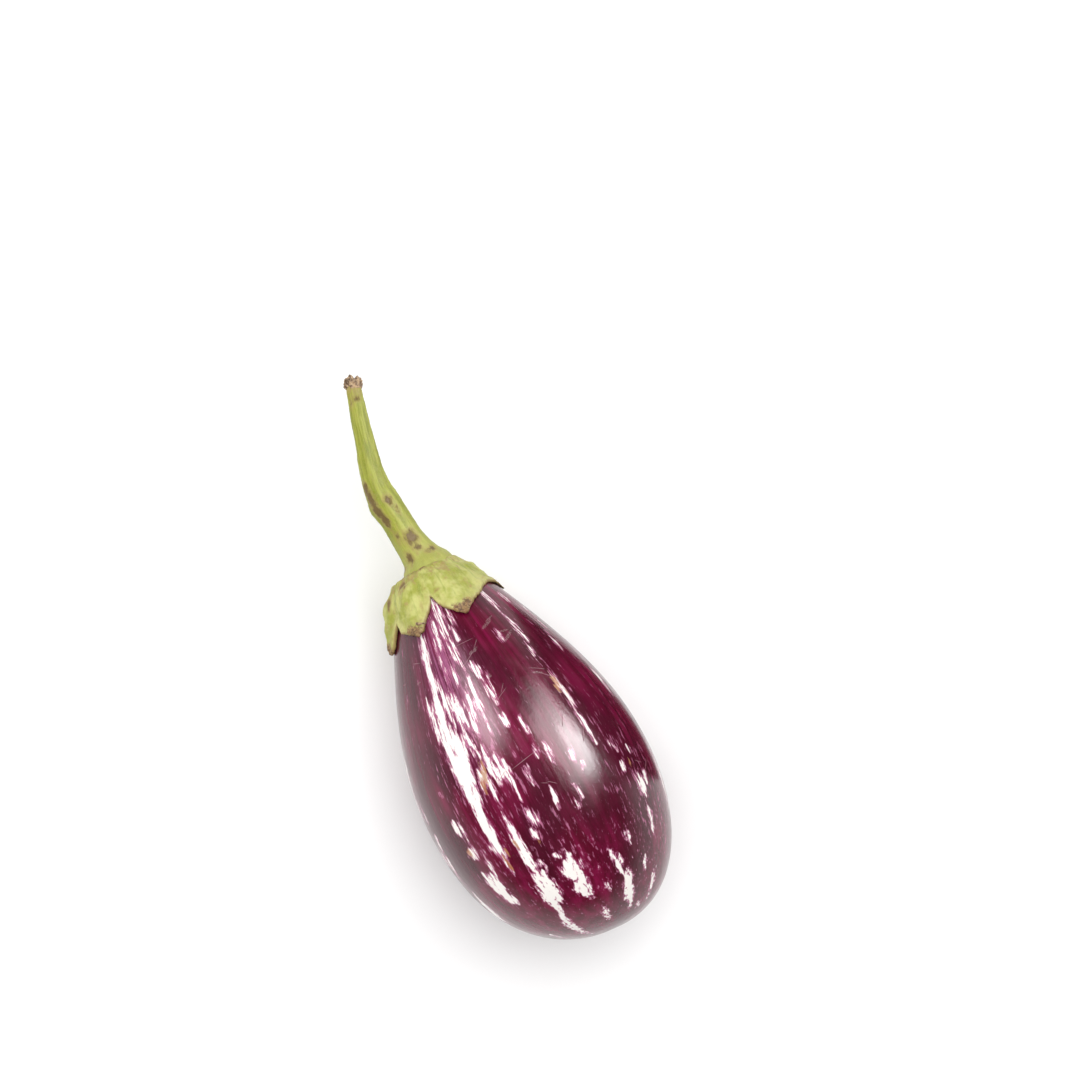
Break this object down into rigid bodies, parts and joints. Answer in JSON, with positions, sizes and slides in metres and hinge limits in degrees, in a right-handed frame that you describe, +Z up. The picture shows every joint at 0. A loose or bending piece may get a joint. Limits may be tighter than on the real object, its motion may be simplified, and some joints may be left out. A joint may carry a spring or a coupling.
{
  "type": "eggplant",
  "caption": "Small striped eggplant with a lobed green cap and a curved stalk, lying on its side.",
  "frame": {"origin": "middle of the bounding box at the surface the fruit lies on", "axes": "+X from the stalk to the blossom end, +Z up, the fruit's long axis tipped 4 degrees neck down"},
  "size_m": [0.1526, 0.059, 0.0583],
  "materials": {
    "skin": "glossy burgundy skin with white and pink streaks",
    "cap_green": "matt yellow-green leaf, brown at the tips",
    "stem_green": "satin green stalk, brown scars, dried tan end"
  },
  "bodies": {
    "root": {"fruit": "skin", "calyx": "cap_green", "stem": "stem_green"}
  },
  "joints": []
}
